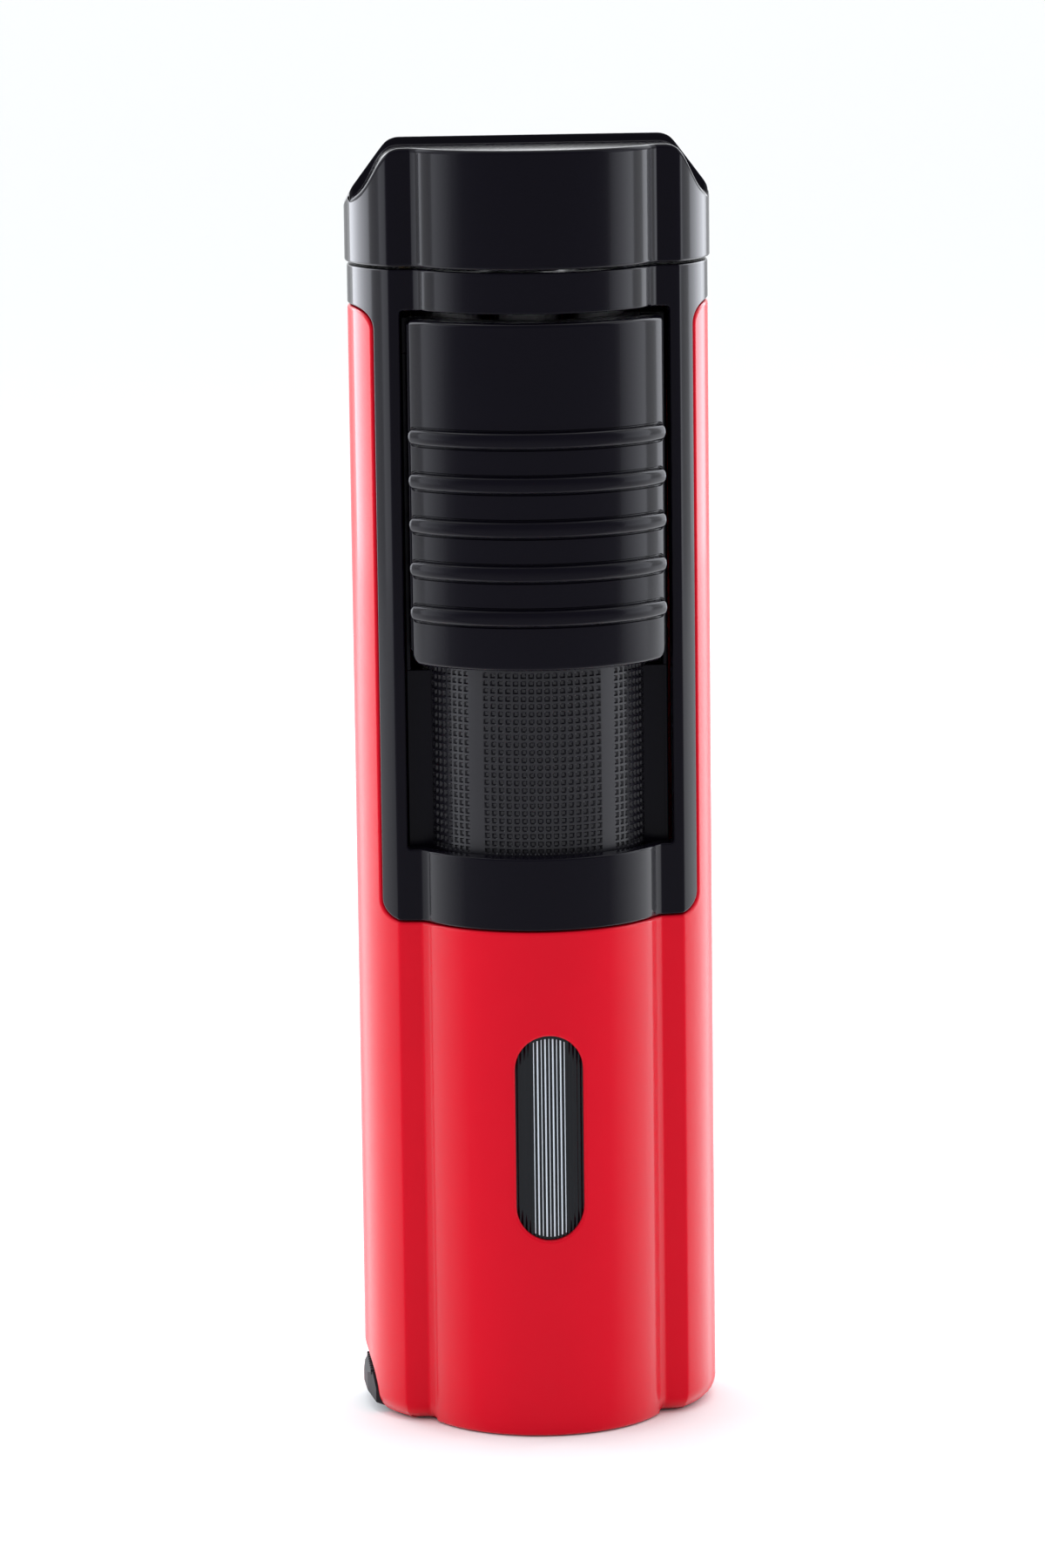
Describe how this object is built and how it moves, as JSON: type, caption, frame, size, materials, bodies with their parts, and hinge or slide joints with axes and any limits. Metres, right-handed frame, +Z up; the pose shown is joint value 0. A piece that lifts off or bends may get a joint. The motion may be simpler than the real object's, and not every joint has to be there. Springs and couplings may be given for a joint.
{
  "type": "butane torch",
  "caption": "Pocket butane torch with a ribbed pull-down igniter, a rear-hinged flip lid, a fuel sight window and a fold-out punch under the base.",
  "frame": {"origin": "centre of the base's underside, at the middle of the bounding box", "axes": "+X to the right seen from the front, +Y from the bowed front to the back, +Z up from the base to the lid"},
  "size_m": [0.0258, 0.0206, 0.0913],
  "materials": {
    "red_gloss": "gloss, moulded",
    "black_gloss": "semi-gloss, moulded",
    "black_textured": "moulded square grid, satin",
    "black_matte": "satin",
    "smoke_clear": "tinted clear, fluted",
    "seal_rubber": "matte",
    "hose_rubber": "matte",
    "brass": "turned",
    "steel": "satin",
    "zinc": "die cast",
    "white_plastic": "satin"
  },
  "bodies": {
    "case": {"outer_shell": "red_gloss", "front_frame": "black_gloss", "channel_panel": "black_textured", "window_lens": "smoke_clear", "tank_body": "smoke_clear", "tank_seal": "seal_rubber", "tank_cover": "black_matte", "base_plate": "black_matte", "base_screw_front": "steel", "base_screw_rear": "steel", "refill_valve": "brass", "gas_valve_body": "brass", "gas_hose": "hose_rubber", "gas_lever_pin": "steel", "piezo_body": "black_matte", "burner_block": "zinc", "burner_tube_1": "steel", "burner_tube_2": "steel", "burner_tube_3": "steel", "jet_nozzle_1": "brass", "jet_nozzle_2": "brass", "jet_nozzle_3": "brass", "burner_deck": "steel", "electrode_wire": "brass", "lid_hinge_pin": "steel", "lid_spring": "steel", "slider_spring": "steel", "punch_pin": "steel"},
    "slider": {"thumb_slider": "black_gloss", "slider_carrier": "black_matte"},
    "lid": {"lid_shell": "black_gloss", "lid_heat_plate": "steel", "lid_hinge_leaf": "black_matte"},
    "plunger": {"piezo_plunger": "white_plastic"},
    "lever": {"gas_lever": "steel"},
    "valve_stem": {"gas_valve_stem": "brass"},
    "adjuster": {"flame_adjuster": "brass"},
    "refill": {"refill_stem": "steel"},
    "punch": {"punch_arm": "black_matte", "punch_cutter": "steel"}
  },
  "joints": [
    {"name": "slider_slide", "type": "slide", "parent": "case", "child": "slider", "axis": [0, 0, -1], "range_m": [0, 0.012], "stiffness_N_per_m": 120, "springref_m": -0.008, "deforming": ["slider_spring"]},
    {"name": "lid_hinge", "type": "hinge", "parent": "case", "child": "lid", "pos_m": [0, 0.0091, 0.08375], "axis": [-1, 0, 0], "range_deg": [0, 95]},
    {"name": "piezo_press", "type": "slide", "parent": "case", "child": "plunger", "axis": [0, 0, -1], "range_m": [0, 0.004]},
    {"name": "gas_lever_rock", "type": "hinge", "parent": "case", "child": "lever", "pos_m": [0.0042, 0.0012, 0.04475], "axis": [1, 0, 0], "range_deg": [0, 10]},
    {"name": "gas_stem_lift", "type": "slide", "parent": "case", "child": "valve_stem", "axis": [0, 0, 1], "range_m": [0, 0.0005]},
    {"name": "flame_adjust", "type": "hinge", "parent": "case", "child": "adjuster", "pos_m": [0.0038, -0.0044, 0.0016], "axis": [0, 0, 1], "range_deg": [-120, 120]},
    {"name": "refill_press", "type": "slide", "parent": "case", "child": "refill", "axis": [0, 0, 1], "range_m": [0, 0.0015], "stiffness_N_per_m": 400, "springref_m": -0.001},
    {"name": "punch_fold", "type": "hinge", "parent": "case", "child": "punch", "pos_m": [0.008, 0.0018, 0.00195], "axis": [0, -1, 0], "range_deg": [0, 100]}
  ],
  "couplings": [
    {"joint": "lid_hinge", "follows": "slider_slide", "rad_per_m": 138.17},
    {"joint": "piezo_press", "follows": "slider_slide", "ratio": 0.33333},
    {"joint": "gas_lever_rock", "follows": "slider_slide", "rad_per_m": 14.544},
    {"joint": "gas_stem_lift", "follows": "slider_slide", "ratio": 0.041666}
  ]
}
